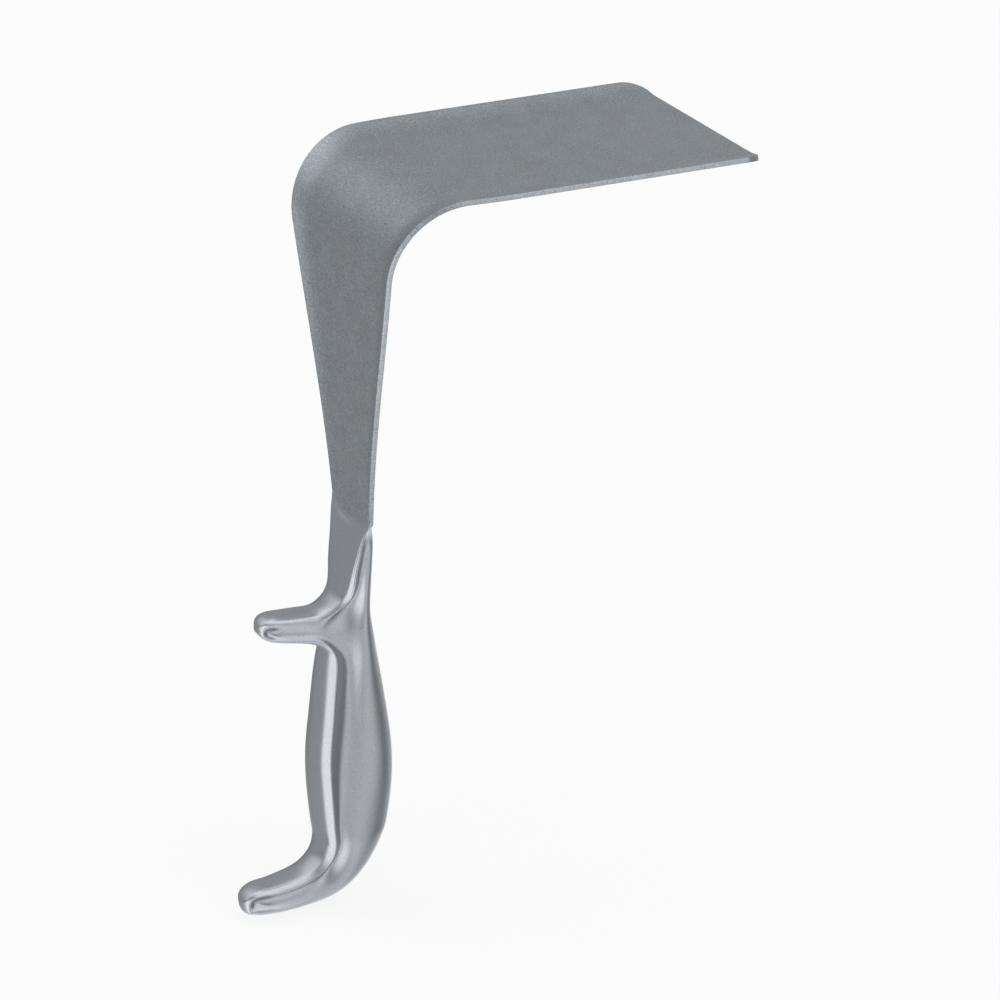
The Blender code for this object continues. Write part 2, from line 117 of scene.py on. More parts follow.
# %% A number in a node tree
class Amount:
    """A number worked out for every point or ray. Python's +, -, * and / add Math nodes to its tree."""

    def __init__(self, tree, socket):
        self.tree, self.socket = tree, socket

    def node(self, operation, *values, clamp=False):
        """A Math node with these values, in this order."""
        node = self.tree.nodes.new("ShaderNodeMath")
        node.operation, node.use_clamp = operation, clamp
        for socket, value in zip(node.inputs, values):
            if isinstance(value, Amount):
                self.tree.links.new(value.socket, socket)
            else:
                socket.default_value = value
        return Amount(self.tree, node.outputs[0])

    def math(self, operation, *others, clamp=False):
        return self.node(operation, self, *others, clamp=clamp)

    def __add__(self, other):
        return self.math("ADD", other)

    def __sub__(self, other):
        return self.math("SUBTRACT", other)

    def __rsub__(self, other):
        return self.node("SUBTRACT", other, self)

    def __mul__(self, other):
        return self.math("MULTIPLY", other)

    def __truediv__(self, other):
        return self.math("DIVIDE", other)

    def __rtruediv__(self, other):
        return self.node("DIVIDE", other, self)

    def __neg__(self):
        return self * -1.0

    def clamped(self):
        """Held between 0 and 1."""
        return self.math("ADD", 0.0, clamp=True)

    def ramp(self, start, end):
        """0 at start, 1 at end, held outside."""
        return ((self - start) / (end - start)).clamped()

    def sin(self):
        return self.math("SINE")

    def cos(self):
        return self.math("COSINE")


print("an Amount adds, subtracts, multiplies, divides, ramps, and takes a sine or cosine")

# %% [markdown]
# ## Light
# Steel shows what is around it, so the light is made as surroundings. Each lamp is a soft round
# spot of brightness in the world, found by comparing the ray's direction with the middle of the
# spot. Boxes overhead and low on the left draw the bright rims, the pale table is a spot straight
# below with its far part behind it, and greyer spots stand for the room's walls. Two dark cards
# deepen the valleys beside the rims and the sheet's turned-out edge. The white behind the object
# doesn't come from these: it is the floor's own colour, in the next step.

# %% Studio surroundings
def soft_box(tree, middle, inner, outer, strength):
    """A soft round light in the world: full inside one angle from its middle, none past another."""
    nodes, links = tree.nodes, tree.links
    toward = nodes.new("ShaderNodeVectorMath")
    toward.operation = "DOT_PRODUCT"
    links.new(tree.nodes["direction"].outputs["Generated"], toward.inputs[0])
    toward.inputs[1].default_value = Vector(middle).normalized()
    fade = nodes.new("ShaderNodeMapRange")
    fade.interpolation_type = "SMOOTHSTEP"
    fade.inputs["From Min"].default_value = math.cos(math.radians(outer))
    fade.inputs["From Max"].default_value = math.cos(math.radians(inner))
    fade.inputs["To Max"].default_value = strength
    links.new(toward.outputs["Value"], fade.inputs["Value"])
    return Amount(tree, fade.outputs["Result"])


def studio(room, boxes, colour=(0.985, 0.995, 1.0)):
    """The world: a grey room with soft boxes, each a middle, two angles in degrees and a strength."""
    world = bpy.data.worlds.new("studio")
    bpy.context.scene.world = world
    world.use_nodes = True
    tree = world.node_tree
    nodes, links = tree.nodes, tree.links
    nodes.clear()
    nodes.new("ShaderNodeTexCoord").name = "direction"
    brightness = room
    for box in boxes:
        brightness = soft_box(tree, *box) + brightness
    lit = nodes.new("ShaderNodeBackground")
    lit.inputs["Color"].default_value = (*colour, 1.0)
    links.new(brightness.socket, lit.inputs["Strength"])
    links.new(lit.outputs[0], nodes.new("ShaderNodeOutputWorld").inputs["Surface"])


soft_boxes = [
    ((0.08, -0.22, 0.97), 14, 50, 1.10),       # overhead
    ((0.40, -0.80, 0.36), 10, 34, 0.75),       # in front and above: the blade's cut edge
    ((-0.52, 0.48, 0.69), 10, 38, 0.72),       # high on the left: the far side of the bend
    ((-0.88, -0.40, -0.33), 12, 56, 1.20),     # low on the left: the rims of the handle
    ((0.34, -0.86, -0.37), 14, 42, 0.46),      # in front: the sides of the handle
    ((-0.39, 0.84, -0.37), 12, 44, 0.15),      # behind on the left: the fronts of shank and handle
    ((0.76, 0.54, -0.37), 16, 46, 0.34),       # behind on the right: the heel
    ((0.39, 0.84, 0.37), 12, 40, 0.15),        # behind: the top of the blade
    ((0.0, 0.0, -1.0), 18, 58, 0.75),          # the table
    ((0.37, 0.72, -0.59), 10, 30, 1.0),        # the table's far part: the lower rims
    ((0.394, 0.843, -0.367), 4, 16, 0.20),     # straight behind: glancing edges
    ((0.89, -0.29, -0.37), 8, 34, -0.08),      # a dark card on the right: the valleys
    ((0.10, 0.96, -0.20), 8, 32, -0.20),       # a dark card behind: the sheet's turned-out edge
]
studio(room=0.30, boxes=soft_boxes)
bpy.context.scene.view_settings.view_transform = "Standard"
dark_cards = [middle for middle, inner, outer, strength in soft_boxes if strength < 0]
print("studio", len(soft_boxes), "soft spots, of which", len(dark_cards), "are dark cards")

# %% [markdown]
# The floor is plain white paint, mixed with a white that shines for the camera, for reflections and
# through glass, but lights nothing. So it looks white without more light on the object, and keeps
# the object's soft shadow. It is hidden from the steel's own reflections, which show the world's
# table spot in its place: that has the same paleness and no edge.

# %% A plain floor
floor_clearance = 0.0005


def white_for_the_eye(tree, share):
    """A share of plain white that the camera, reflections and glass show, and that lights nothing."""
    ray = tree.nodes.new("ShaderNodeLightPath")
    seen = Amount(tree, ray.outputs["Is Camera Ray"])
    for kind in ("Is Glossy Ray", "Is Transmission Ray"):
        seen = seen.math("MAXIMUM", Amount(tree, ray.outputs[kind]))
    return seen * share


def make_floor(height, size=8.0, paleness=0.95, white_share=0.85):
    """A white floor under the pommel, which keeps a soft shadow."""
    half = size / 2
    corners = [(-half, -half, 0), (half, -half, 0), (half, half, 0), (-half, half, 0)]
    mesh = bpy.data.meshes.new("floor")
    mesh.from_pydata(corners, [], [(0, 1, 2, 3)])
    floor = bpy.data.objects.new("floor", mesh)
    floor.location.z = height
    floor.visible_glossy = False
    bpy.context.scene.collection.objects.link(floor)
    paint = bpy.data.materials.new("pale_floor")
    paint.use_nodes = True
    nodes, links = paint.node_tree.nodes, paint.node_tree.links
    shader = nodes["Principled BSDF"]
    shader.inputs["Base Color"].default_value = (paleness, paleness, paleness, 1.0)
    shader.inputs["Roughness"].default_value = 0.9
    shader.inputs["Specular IOR Level"].default_value = 0.0
    white, mix = nodes.new("ShaderNodeEmission"), nodes.new("ShaderNodeMixShader")
    links.new(white_for_the_eye(paint.node_tree, white_share).socket, mix.inputs["Fac"])
    links.new(shader.outputs[0], mix.inputs[1])
    links.new(white.outputs[0], mix.inputs[2])
    links.new(mix.outputs[0], nodes["Material Output"].inputs["Surface"])
    mesh.materials.append(paint)
    floor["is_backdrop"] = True
    return floor


floor = make_floor(engineering_box[0][2] - floor_clearance)
print("floor at", round(floor.location.z * 1000, 1), "mm")

# %% [markdown]
# ## Steel finishes
# The sheet is blasted with fine glass beads, which leaves an even grey full of tiny pits and
# sparkles. The handle is ground and brushed to a silkier satin. Each could have its own nodes, or a
# picture of real steel stretched over it. One node group with named inputs serves both better: it
# is built once, needs no picture and shows no seam, because its noise fills the space that the
# object stands in.

# %% Grain pattern shared by the finishes
cloud_scale = 110.0                         # broad soft patches, about 9 mm across
dot_scale = 1.35                            # the dots are finer than the grain
bright_above, dark_below = 0.74, 0.25       # where the noise of the dots makes a sparkle or a pit
dot_sharpness = 14.0
clouds_in_shade, clouds_in_gloss = 0.15, 0.4


def noise(tree, scale, detail, roughness=0.5):
    """Noise on Object coordinates. The scale is a plain number or an Amount."""
    place, node = tree.nodes.new("ShaderNodeTexCoord"), tree.nodes.new("ShaderNodeTexNoise")
    tree.links.new(place.outputs["Object"], node.inputs["Vector"])
    if isinstance(scale, Amount):
        tree.links.new(scale.socket, node.inputs["Scale"])
    else:
        node.inputs["Scale"].default_value = scale
    node.inputs["Detail"].default_value = detail
    node.inputs["Roughness"].default_value = roughness
    return Amount(tree, node.outputs["Fac"])


def grain_group():
    """Node group: tiny pits and sparkles in the shade, the roughness and the height."""
    group = bpy.data.node_groups.new("steel_grain", "ShaderNodeTree")
    names = ("Grain Size", "Shade Depth", "Base Roughness", "Roughness Spread", "Sparkle")
    for name in names:
        group.interface.new_socket(name, in_out="INPUT", socket_type="NodeSocketFloat")
    group.interface.new_socket("Steel Colour", in_out="INPUT", socket_type="NodeSocketColor")
    group.interface.new_socket("Colour", in_out="OUTPUT", socket_type="NodeSocketColor")
    group.interface.new_socket("Roughness", in_out="OUTPUT", socket_type="NodeSocketFloat")
    group.interface.new_socket("Height", in_out="OUTPUT", socket_type="NodeSocketFloat")
    nodes, links = group.nodes, group.links
    given, made = nodes.new("NodeGroupInput"), nodes.new("NodeGroupOutput")
    grain, depth, base, spread, strength = (Amount(group, given.outputs[name]) for name in names)

    pitch = 1.0 / grain
    fine = noise(group, pitch, 2.0, 0.7) - 0.5
    cloud = noise(group, cloud_scale, 3.0) - 0.5
    dots = noise(group, pitch * dot_scale, 0.0)
    sparkle = (dots - bright_above).math("MULTIPLY", dot_sharpness, clamp=True) * strength
    pits = (dark_below - dots).math("MULTIPLY", dot_sharpness, clamp=True) * strength
    shade = fine * depth + 1.0 + cloud * (depth * clouds_in_shade) + sparkle - pits
    tint = nodes.new("ShaderNodeVectorMath")
    tint.operation = "SCALE"
    links.new(given.outputs["Steel Colour"], tint.inputs[0])
    links.new(shade.socket, tint.inputs["Scale"])
    links.new(tint.outputs[0], made.inputs["Colour"])
    roughness = base + (fine + cloud * clouds_in_gloss) * spread
    links.new(roughness.socket, made.inputs["Roughness"])
    links.new(fine.socket, made.inputs["Height"])
    return group


steel_grain = grain_group()
print("grain group", len(steel_grain.nodes), "nodes")

# %% [markdown]
# The group gives colours, roughness and height that change over the surface. The Principled shader
# stays in each material, and Metallic is set on it directly, because it is the same everywhere. The
# filler in the neck is a yellowish silver braze. It stays the engineering model's own piece and
# only gets its finish here.

# %% The two finishes and the filler
def steel_finish(name, colour, grain, shade, roughness, spread, sparkle, bump, bump_strength=0.5):
    """A metal with the shared grain; grain and bump are in metres."""
    finish = bpy.data.materials.new(name)
    finish.use_nodes = True
    nodes, links = finish.node_tree.nodes, finish.node_tree.links
    shader = nodes["Principled BSDF"]
    shader.inputs["Metallic"].default_value = 1.0
    pattern = nodes.new("ShaderNodeGroup")
    pattern.node_tree = steel_grain
    pattern.inputs["Steel Colour"].default_value = (*colour, 1.0)
    pattern.inputs["Grain Size"].default_value = grain
    pattern.inputs["Shade Depth"].default_value = shade
    pattern.inputs["Base Roughness"].default_value = roughness
    pattern.inputs["Roughness Spread"].default_value = spread
    pattern.inputs["Sparkle"].default_value = sparkle
    links.new(pattern.outputs["Colour"], shader.inputs["Base Color"])
    links.new(pattern.outputs["Roughness"], shader.inputs["Roughness"])
    relief = nodes.new("ShaderNodeBump")
    relief.inputs["Strength"].default_value = bump_strength
    relief.inputs["Distance"].default_value = bump
    links.new(pattern.outputs["Height"], relief.inputs["Height"])
    links.new(relief.outputs["Normal"], shader.inputs["Normal"])
    return finish


blasted_steel = steel_finish("blasted_steel", (0.414, 0.446, 0.476), grain=0.00060, shade=1.20,
                             roughness=0.44, spread=0.12, sparkle=0.60, bump=0.00002)
ground_steel = steel_finish("ground_satin_steel", (0.497, 0.517, 0.552), grain=0.00050, shade=0.50,
                            roughness=0.33, spread=0.10, sparkle=0.20, bump=0.00001)
silver_braze = steel_finish("silver_braze", (0.66, 0.60, 0.45), grain=0.0006, shade=0.3,
                            roughness=0.45, spread=0.1, sparkle=0.0, bump=0.00004)
for part_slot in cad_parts["tang_braze"].material_slots:
    part_slot.material = silver_braze
print("finishes", [finish.name for finish in (blasted_steel, ground_steel, silver_braze)])

# %% [markdown]
# ## The sheet
# The real sheet is cut flat, ground along its edges and bent over a form. It could be modelled by
# pushing points about, but it follows a rule: each point has a length along the flat blank and a
# distance from its middle. The blank's outline gives its width, the bend wraps the length round a
# radius, and the lips lift the side edges. That is a job for Geometry Nodes: one grid, and a
# formula that sets where each of its points goes.

# %% Sizes of the sheet
sheet_sizes = {
    "Thickness": 0.0016,
    "Mouth Height": mouth_height,
    "Shank Width": 0.0286,          # at the mouth
    "Shank Length": 0.0897,         # from the mouth to the bend
    "Shank Flare": 0.125,           # how fast each side spreads at the mouth
    "Widening Length": 0.1413,      # from the mouth to the full width, along the blank
    "Bend Radius": 0.0225,
    "Blade Width": 0.0907,
    "Blade Reach": 0.1264,          # from the shank's outer face to the blade's end
    "Corner Radius": 0.0078,
    "Lip Width": 0.0128,            # the strip along each side that is turned outwards
    "Lip Rise": 0.0024,
    "Tang Width": 0.0092,
    "Tang Length": 0.0240,          # from the mouth down into the neck
    "Shoulder Top": 0.0010,         # the rounded step between shank and tang starts above the mouth
    "Shoulder Length": 0.0040,
}
print("sheet", len(sheet_sizes), "named sizes")

# %% [markdown]
# The grid's rows are shared out by where the outline turns: a few for the tang, more for the
# rounded shoulders and corners, and the rest for the long straight sides. A row's length is
# measured along the blank from the mouth.

# %% Length along the blank
tang_end, shoulder_end, corner_start = 0.04, 0.12, 0.90     # shares of the rows, from the tang's end
quarter = math.pi / 2


def length_of(row, corner, shoulder, size):
    """Length along the blank. Corner and shoulder are how far its round parts have turned."""
    straight = size["Blade Reach"] - size["Thickness"] * 0.5 - size["Bend Radius"]
    arc = size["Bend Radius"] * quarter
    sides = size["Shank Length"] + arc + straight - size["Corner Radius"] - size["Shoulder Top"]
    tang = size["Tang Length"] - size["Shoulder Length"] + size["Shoulder Top"]
    length = row.ramp(shoulder_end, corner_start) * sides + size["Shoulder Top"]
    length = length + corner.sin() * size["Corner Radius"] - shoulder.sin() * size["Shoulder Length"]
    return length - row.ramp(tang_end, 0.0) * tang


print("rows: tang to", tang_end, "shoulders to", shoulder_end, "corners from", corner_start)

# %% [markdown]
# The blank widens smoothly from the shank to the blade. A cubic curve does that: it is set by the
# widths at both ends and by how fast the sides spread at the mouth, and it runs out straight.

# %% Width of the blank
def widths_of(length, corner, shoulder, size):
    """Half the blank's width, and what its round corners, its shoulders and the tang leave of it."""
    u = (length / size["Widening Length"]).clamped()
    u2, u3 = u * u, u * u * u
    width = (size["Shank Width"] * (u3 * 2.0 - u2 * 3.0 + 1.0)
             + size["Widening Length"] * size["Shank Flare"] * (u3 - u2 * 2.0 + u) * 2.0
             + size["Blade Width"] * (u2 * 3.0 - u3 * 2.0))
    blank = width * 0.5
    half = blank - (-corner.cos() + 1.0) * size["Corner Radius"]
    return blank, half - (-shoulder.cos() + 1.0) * (blank - size["Tang Width"] * 0.5)


print("blank widens from", sheet_sizes["Shank Width"], "to", sheet_sizes["Blade Width"], "m")

# %% [markdown]
# The bend wraps the length round its radius, as the sheet is pressed over a round form. The lips
# along the sides lift the sheet squarely to its surface, and more and more up the shank.

# %% The bend and the lips
def bent(length, size):
    """Where the bend puts a length: x, z and the angle by which the sheet has turned there."""
    past = (length - size["Shank Length"]).math("MAXIMUM", 0.0)
    turn = (past / size["Bend Radius"]).math("MINIMUM", quarter)
    beyond = (past - size["Bend Radius"] * quarter).math("MAXIMUM", 0.0)
    x = (-turn.cos() + 1.0) * size["Bend Radius"] + beyond * turn.sin()
    z = length.math("MINIMUM", size["Shank Length"])
    return x, z + turn.sin() * size["Bend Radius"] + beyond * turn.cos(), turn


def lip_rise(length, y, blank, size):
    """How far the side edges are turned outwards."""
    lip = size["Lip Width"] * blank / (size["Blade Width"] * 0.5)
    inside = ((y.math("ABSOLUTE") - blank + lip) / lip).math("MAXIMUM", 0.0)
    grown = (length / size["Shank Length"]).clamped()
    return inside * inside * grown * size["Lip Rise"]


print("bend", sheet_sizes["Bend Radius"], "m round, lips", sheet_sizes["Lip Rise"], "m high")

# %% [markdown]
# Now the tree itself: a named input for each size, one grid, the formula for its points, and at the
# end Realize Instances and Set Material.

# %% The sheet's tree
grid_rows, grid_columns = 241, 61


def sheet_tree(name, sizes, material):
    """Geometry Nodes that bend a grid into the sheet's middle surface."""
    tree = bpy.data.node_groups.new(name, "GeometryNodeTree")
    tree.interface.new_socket("Geometry", in_out="INPUT", socket_type="NodeSocketGeometry")
    tree.interface.new_socket("Geometry", in_out="OUTPUT", socket_type="NodeSocketGeometry")
    for label in sizes:
        tree.interface.new_socket(label, in_out="INPUT", socket_type="NodeSocketFloat")
    nodes, links = tree.nodes, tree.links
    given, made = nodes.new("NodeGroupInput"), nodes.new("NodeGroupOutput")
    size = {label: Amount(tree, given.outputs[label]) for label in sizes}

    # The grid runs from -1 to 1 both ways; row is 0 at the tang's end and 1 at the blade's.
    grid = nodes.new("GeometryNodeMeshGrid")
    for label, value in (("Size X", 2.0), ("Size Y", 2.0),
                         ("Vertices X", grid_rows), ("Vertices Y", grid_columns)):
        grid.inputs[label].default_value = value
    where = nodes.new("ShaderNodeSeparateXYZ")
    links.new(nodes.new("GeometryNodeInputPosition").outputs[0], where.inputs[0])
    row = Amount(tree, where.outputs["X"]) * 0.5 + 0.5
    across = Amount(tree, where.outputs["Y"])

    corner = row.ramp(corner_start, 1.0) * quarter
    shoulder = row.ramp(shoulder_end, tang_end) * quarter
    length = length_of(row, corner, shoulder, size)
    blank, half = widths_of(length, corner, shoulder, size)
    y = across * half
    x, z, turn = bent(length, size)
    rise = lip_rise(length, y, blank, size)
    spot = (x - turn.cos() * rise, y, z + turn.sin() * rise + size["Mouth Height"])
    place = nodes.new("ShaderNodeCombineXYZ")
    for socket, amount in zip(place.inputs, spot):
        links.new(amount.socket, socket)

    move = nodes.new("GeometryNodeSetPosition")
    links.new(grid.outputs["Mesh"], move.inputs["Geometry"])
    links.new(place.outputs[0], move.inputs["Position"])
    real = nodes.new("GeometryNodeRealizeInstances")
    links.new(move.outputs[0], real.inputs[0])
    dress = nodes.new("GeometryNodeSetMaterial")
    dress.inputs["Material"].default_value = material
    links.new(real.outputs[0], dress.inputs["Geometry"])
    links.new(dress.outputs[0], made.inputs["Geometry"])
    return tree


bent_sheet = sheet_tree("bent_sheet", sheet_sizes, blasted_steel)
print("tree", bent_sheet.name, len(bent_sheet.nodes), "nodes")

# %% [markdown]
# What a tree makes is only shown until it is made real. So the tree is run once with its sizes, the
# result is copied out as a plain mesh, and the modifier goes.

# %% From nodes to a plain mesh
def made_by_nodes(name, tree, sizes):
    """Run a tree with the given sizes and keep its result as a plain mesh object at the origin."""
    holder = bpy.data.objects.new(name, bpy.data.meshes.new(name))
    bpy.context.scene.collection.objects.link(holder)
    maker = holder.modifiers.new("maker", "NODES")
    maker.node_group = tree
    sockets = {item.name: item.identifier for item in tree.interface.items_tree
               if item.in_out == "INPUT"}
    for label, value in sizes.items():
        maker[sockets[label]] = value
    shown = holder.evaluated_get(bpy.context.evaluated_depsgraph_get())
    mesh = bpy.data.meshes.new_from_object(shown)
    holder.modifiers.remove(maker)
    holder.data = mesh
    return holder


sheet = made_by_nodes("blade_sheet", bent_sheet, sheet_sizes)
print("sheet", len(sheet.data.vertices), "points before it gets its thickness")

# %% [markdown]
# The surface gets its thickness from Solidify, half to each side, and a Bevel rounds the cut edges,
# as a belt grinder does. The angle limit keeps the bevel off the smooth bend.

# %% Thickness and rounded edges
edge_round, edge_steps, edge_angle = 0.00055, 4, 60
shape = bmesh.new()
shape.from_mesh(sheet.data)
bmesh.ops.remove_doubles(shape, verts=shape.verts, dist=1e-6)
bmesh.ops.recalc_face_normals(shape, faces=shape.faces)
shape.to_mesh(sheet.data)
shape.free()
wall = sheet.modifiers.new("thickness", "SOLIDIFY")
wall.thickness, wall.offset, wall.use_even_offset = sheet_sizes["Thickness"], 0.0, True
ground_edge = sheet.modifiers.new("ground_edge", "BEVEL")
ground_edge.width, ground_edge.segments = edge_round, edge_steps
ground_edge.limit_method, ground_edge.angle_limit = "ANGLE", math.radians(edge_angle)
sheet.data.shade_smooth()
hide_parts("blade")
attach(sheet, "root")
print("sheet", len(sheet.modifiers), "live modifiers, on", len(sheet.data.polygons), "faces")

# %% [markdown]
# ## The handle
# The handle is a soft form with crisp rims, pressed in two halves that are welded and ground to one
# skin. It could be sculpted, but then it would have no sizes. So we draw ribs down it and rings out
# along the finger hook, join them into a coarse cage of quads, and let a Subdivision Surface smooth
# it.
#
# A rib is half an outline across the handle, drawn as nine points: the middle of the front, the
# edge of its flat part, three points round the rolled rim, the bottom of the groove behind the rim,
# the side, the heel and the middle of the back. The roll starts gently on the front and tightens
# towards the side, as a pressed rim does. Values are in millimetres: x, then the depth below the
# mouth, then the half width; dip lowers a rib's middle, as the mouth does.

# %% The rolled rim and one rib
crown_share = 0.12                  # how far the front has sunk where its flat part ends
roll_turns = (10.0, 35.0, 60.0)     # degrees


def rolled(across, deep):
    """Where an oval roll has turned by roll_turns and by 90: (back from front, in from rim)."""
    crown = crown_share * deep
    spots = []
    for turned in roll_turns:
        angle = math.atan(math.tan(math.radians(turned)) * across / (deep - crown))
        spots.append((crown + (deep - crown) * (1 - math.cos(angle)), across * (1 - math.sin(angle))))
    return spots + [(deep, 0.0)]


def rib(front, back, rim, roll, groove, side, heel=(0.72, 0.70), dip=0.0):
    """Nine points (x, depth, half width). Groove and side are (distance from the front, half width)."""
    front, back = np.array(front), np.array(back)
    whole = np.linalg.norm(back - front)
    along = (back - front) / whole
    spots = [(0.0, 0.0)] + [(place, rim - inward) for place, inward in rolled(*roll)]
    spots += [groove, side, (side[0] + heel[0] * (whole - side[0]), heel[1] * side[1]), (whole, 0.0)]
    return [(*(front + along * place + (0.0, dip * (1 - (width / rim)**2))), width)
            for place, width in spots]


print("a rim 5 mm across and 4 mm deep:", np.round(rolled(5, 4), 2).tolist())

# %% [markdown]
# The numbers of the ribs are read off the instrument's outline and off the bright lines along its
# rims, from the mouth down to the pommel's tip. Two ribs beside the hook have no front: there the
# cage stays open for the hook.

# %% Ribs of the neck
groove_point, back_point = 5, 8     # a rib's points are numbered from 0, the middle of its front
no_front = [None] * groove_point

# front, back, rim, roll (across, deep), groove (at, half), side (at, half)
neck = [
    rib((-0.65, -1.6), (0.65, -1.6), 14.2, (1.0, 0.3), (0.5, 14.1), (0.8, 13.9), dip=3.2),
    rib((-1.10, -0.4), (1.0, -0.4), 14.2, (1.3, 0.5), (1.0, 14.0), (1.5, 13.4), (0.72, 0.82), dip=3.0),
    rib((-2.20, 2.2), (2.8, 2.2), 13.5, (2.0, 1.0), (2.0, 12.6), (3.1, 11.6), (0.72, 0.80), dip=2.0),
    rib((-3.2, 6.0), (4.4, 6.0), 12.4, (2.4, 1.3), (2.9, 10.2), (4.7, 9.4), (0.72, 0.78), dip=1.0),
    rib((-4.2, 11.0), (4.6, 11.0), 11.5, (2.8, 1.6), (3.9, 8.5), (6.0, 8.5), (0.72, 0.78), dip=0.3),
    rib((-5.9, 19.0), (4.6, 19.0), 10.3, (3.6, 2.1), (4.7, 6.9), (7.2, 7.5), (0.72, 0.78)),
    rib((-7.9, 26.8), (4.5, 26.8), 8.4, (4.2, 2.7), (5.2, 5.3), (8.6, 6.8), (0.72, 0.76)),
]
beside_hook = [
    no_front + [(-4.4, 32.2, 3.9), (0.4, 33.0, 6.4), (3.3, 33.6, 4.8), (4.5, 33.6, 0.0)],
    no_front + [(-4.8, 39.9, 5.6), (0.2, 39.9, 7.0), (3.9, 39.9, 5.0), (5.3, 39.9, 0.0)],
]
print("neck", len(neck), "ribs, and", len(beside_hook), "beside the hook")

# %% Ribs of the grip and the pommel
grip = [
    rib((-12.9, 47.4), (6.5, 47.4), 7.1, (4.4, 3.6), (7.6, 4.6), (13.2, 7.0)),
    rib((-14.1, 56.5), (8.1, 56.5), 8.1, (4.7, 3.9), (8.9, 4.8), (14.2, 6.7)),
    rib((-15.5, 69.0), (10.0, 69.0), 8.6, (4.8, 4.0), (9.4, 5.4), (15.7, 7.0)),
    rib((-16.9, 82.0), (11.5, 82.0), 8.9, (4.8, 4.0), (9.1, 5.9), (17.2, 7.4)),
    rib((-16.7, 95.5), (11.4, 95.5), 9.4, (5.0, 3.9), (7.4, 6.7), (15.4, 8.0)),
    rib((-15.7, 108.2), (9.6, 108.2), 8.9, (4.8, 3.7), (6.0, 6.8), (11.0, 8.2)),
]
pommel = [
    rib((-15.2, 112.8), (7.8, 113.6), 8.5, (4.6, 3.5), (5.8, 6.4), (10.4, 8.1)),
    rib((-16.2, 117.0), (3.2, 122.4), 7.9, (4.4, 3.3), (5.7, 4.9), (9.8, 7.2)),
    rib((-18.9, 120.0), (-4.7, 130.6), 7.2, (4.0, 3.0), (5.4, 4.4), (9.6, 6.3), heel=(0.62, 0.86)),
    rib((-23.0, 122.2), (-14.9, 134.6), 6.7, (3.7, 2.8), (4.7, 5.4), (8.2, 5.6), heel=(0.55, 1.00)),
    rib((-29.5, 123.7), (-27.6, 135.8), 6.3, (3.5, 2.6), (4.4, 5.2), (7.6, 5.0), heel=(0.48, 1.12)),
    rib((-34.0, 124.3), (-33.3, 135.8), 5.9, (3.3, 2.4), (4.1, 4.7), (6.8, 4.5), heel=(0.48, 1.18)),
    rib((-37.0, 124.6), (-36.7, 135.6), 5.6, (3.0, 2.2), (3.9, 3.6), (6.2, 3.4), heel=(0.50, 1.48)),
    rib((-39.6, 125.4), (-39.4, 135.0), 5.1, (2.6, 1.9), (3.3, 3.5), (5.4, 3.4), heel=(0.52, 1.28)),
    rib((-41.3, 126.5), (-41.2, 134.3), 4.4, (2.1, 1.5), (2.7, 4.2), (4.6, 4.1), heel=(0.56, 0.95)),
    rib((-42.6, 128.0), (-42.5, 132.9), 3.2, (1.6, 0.9), (1.6, 3.0), (2.7, 2.9), heel=(0.60, 0.85)),
    rib((-43.2, 129.6), (-43.1, 131.0), 1.3, (0.8, 0.3), (0.6, 1.3), (0.9, 1.2), heel=(0.62, 0.8)),
]
ribs = neck + beside_hook + grip + pommel
print("handle", len(ribs), "ribs")

# %% [markdown]
# The hook, which a finger rests on, leaves the handle sideways, where no rib can follow it. So it
# has rings of its own: each is half an outline across the hook, from its top over the rolled ridge
# and down the side, where a pocket is pressed in, to the lower rim and the underside.

# %% Rings of the hook
# (share of the height, share of the pocket's depth) and (share of the height, share of the width)
pocket_rows = ((0.60, 1.0), (0.73, 0.7), (0.83, 0.1))
underside_rows = ((0.915, 0.88), (0.965, 0.67), (0.99, 0.36))


def hook_ring(x, top, low, rim, roll, pocket, lower):
    """Fourteen points round half the hook: top, rolled ridge, side, pocket, lower rim, underside."""
    height = low - top
    points = [(x, top, 0.0)] + [(x, top + down, rim - inward) for down, inward in rolled(*roll)]
    # Below the ridge the side passes from the rim's width to the lower one and into the pocket.
    points += [(x, top + roll[1] + 0.13 * height, 0.7 * rim + 0.3 * lower - 0.3 * pocket),
               (x, top + 0.47 * height, 0.5 * (rim + lower) - 0.8 * pocket)]
    points += [(x, top + share * height, lower - pressed * pocket) for share, pressed in pocket_rows]
    points += [(x, top + share * height, wide * lower) for share, wide in underside_rows]
    return points + [(x, low, 0.0)]


# x, top, low, rim, roll (across, deep), pocket, lower
rings = [
    hook_ring(-13.0, 29.6, 44.2, 5.9, (4.2, 3.1), 1.2, 5.7),
    hook_ring(-18.7, 30.1, 41.7, 5.6, (3.9, 2.7), 0.6, 5.3),
    hook_ring(-24.4, 30.0, 40.5, 5.5, (3.6, 2.5), 0.8, 5.2),
    hook_ring(-28.2, 29.8, 39.7, 5.2, (3.4, 2.3), 1.1, 5.0),
    hook_ring(-30.3, 29.9, 39.1, 5.0, (3.2, 2.1), 1.8, 4.9),
    hook_ring(-32.3, 30.4, 38.3, 4.5, (2.8, 1.7), 1.6, 4.5),
    hook_ring(-33.7, 31.3, 37.2, 3.6, (2.0, 1.2), 0.0, 3.6),
    hook_ring(-34.7, 32.6, 35.8, 2.3, (1.2, 0.6), 0.0, 2.3),
    hook_ring(-35.0, 33.6, 34.8, 0.9, (0.5, 0.3), 0.0, 0.9),
]
print("hook", len(rings), "rings of", len(rings[0]), "points")

# %% [markdown]
# A Subdivision Surface is smooth and even where its cage is made of quads. Each point of the cage
# has a twin on the other side of the middle plane, so the halves are alike, as two pressings are.

# %% The cage
mm = 0.001


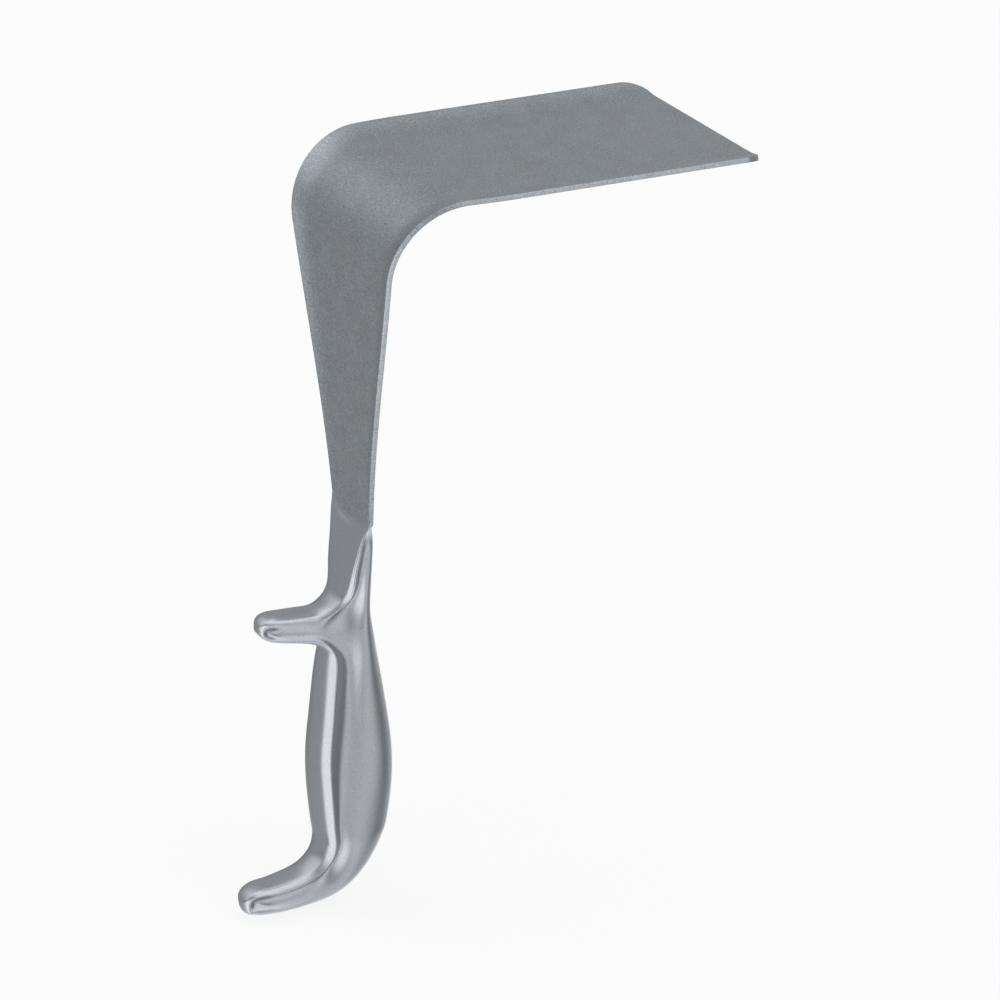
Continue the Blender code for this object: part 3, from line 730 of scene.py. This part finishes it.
class Cage:
    """A cage of quads, with a few triangles at its ends, the same on both sides of the middle plane."""

    def __init__(self):
        self.points, self.faces = [], []

    def add(self, point):
        x, depth, half = (mm * value for value in point)
        self.points.append((x, -half, mouth_height - depth))
        if half == 0.0:
            return (len(self.points) - 1,) * 2
        self.points.append((x, half, mouth_height - depth))
        return len(self.points) - 2, len(self.points) - 1

    def face(self, *corners):
        self.faces.append(tuple(c[0] for c in corners))
        self.faces.append(tuple(c[1] for c in reversed(corners)))


def handle_cage(ribs, rings):
    """Join the ribs into a strip and grow the hook out of its opening."""
    cage = Cage()
    open_ribs = [i for i, points in enumerate(ribs) if points[0] is None]
    upper, lower = open_ribs[0] - 1, open_ribs[-1] + 1
    rows = [[None if p is None else cage.add(p) for p in points] for points in ribs]
    for i in range(len(rows) - 1):
        for j in range(back_point):
            if not (upper <= i < lower and j < groove_point):
                cage.face(rows[i][j], rows[i][j + 1], rows[i + 1][j + 1], rows[i + 1][j])
    for row in (rows[0], rows[-1]):
        for j in range(3):
            k = back_point - j
            cage.face(row[j], row[j + 1], row[k - 1], row[k])
        cage.face(row[3], row[4], row[5])
    loop = rows[upper][:groove_point + 1] + [rows[i][groove_point] for i in open_ribs]
    loop += rows[lower][groove_point::-1]
    for ring in rings:
        outer = [cage.add(p) for p in ring]
        for j in range(len(outer) - 1):
            cage.face(loop[j], loop[j + 1], outer[j + 1], outer[j])
        loop = outer
    for j in range(len(loop) // 2 - 1):
        k = len(loop) - 1 - j
        cage.face(loop[j], loop[j + 1], loop[k - 1], loop[k])
    return cage


cage = handle_cage(ribs, rings)
print("cage", len(cage.points), "points,", len(cage.faces), "faces")

# %% [markdown]
# A smoothed surface shrinks from its cage. So the cage is pushed out: each round measures how far
# the surface misses the points that were drawn, and moves the cage's own points by as much. Each
# round brings it closer, and the sharpest turns stay a little softer than drawn.

# %% The smoothed handle
def smoothed(name, cage, fitting_level=2, level=3, rounds=3):
    """The cage as an object whose smooth surface passes close to the drawn points."""
    mesh = bpy.data.meshes.new(name)
    mesh.from_pydata(cage.points, [], cage.faces)
    shape = bmesh.new()
    shape.from_mesh(mesh)
    bmesh.ops.recalc_face_normals(shape, faces=shape.faces)
    shape.to_mesh(mesh)
    shape.free()
    obj = bpy.data.objects.new(name, mesh)
    bpy.context.scene.collection.objects.link(obj)
    surface = obj.modifiers.new("smooth_surface", "SUBSURF")
    surface.levels = surface.render_levels = fitting_level
    drawn = [Vector(p) for p in cage.points]
    for turn in range(rounds):
        shown = obj.evaluated_get(bpy.context.evaluated_depsgraph_get()).to_mesh()
        misses = [target - shown.vertices[i].co for i, target in enumerate(drawn)]
        for vertex, miss in zip(mesh.vertices, misses):
            vertex.co += miss
        mesh.update()
        farthest = max(miss.length for miss in misses)
        print("round", turn + 1, "missed by up to", round(farthest / mm, 2), "mm")
    surface.levels = surface.render_levels = level
    mesh.shade_smooth()
    return obj


handle = smoothed("handle", cage)
handle.data.materials.append(ground_steel)
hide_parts("handle_shell_left", "handle_shell_right")
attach(handle, "root")
print("handle", len(handle.data.polygons), "faces before smoothing")

# %% [markdown]
# ## Sizes of both models
# Both boxes are printed side by side, axis by axis. The visual model must stay inside the
# engineering model's box. The handle is measured on its cage here, which reaches a little past its
# smooth surface.

# %% The boxes of both models
dressed_box = [list(corner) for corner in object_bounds()]
for axis in range(3):
    sides = [round((box[1][axis] - box[0][axis]) * 1000, 2) for box in (engineering_box, dressed_box)]
    print("XYZ"[axis], "engineering and dressed, in mm:", sides)
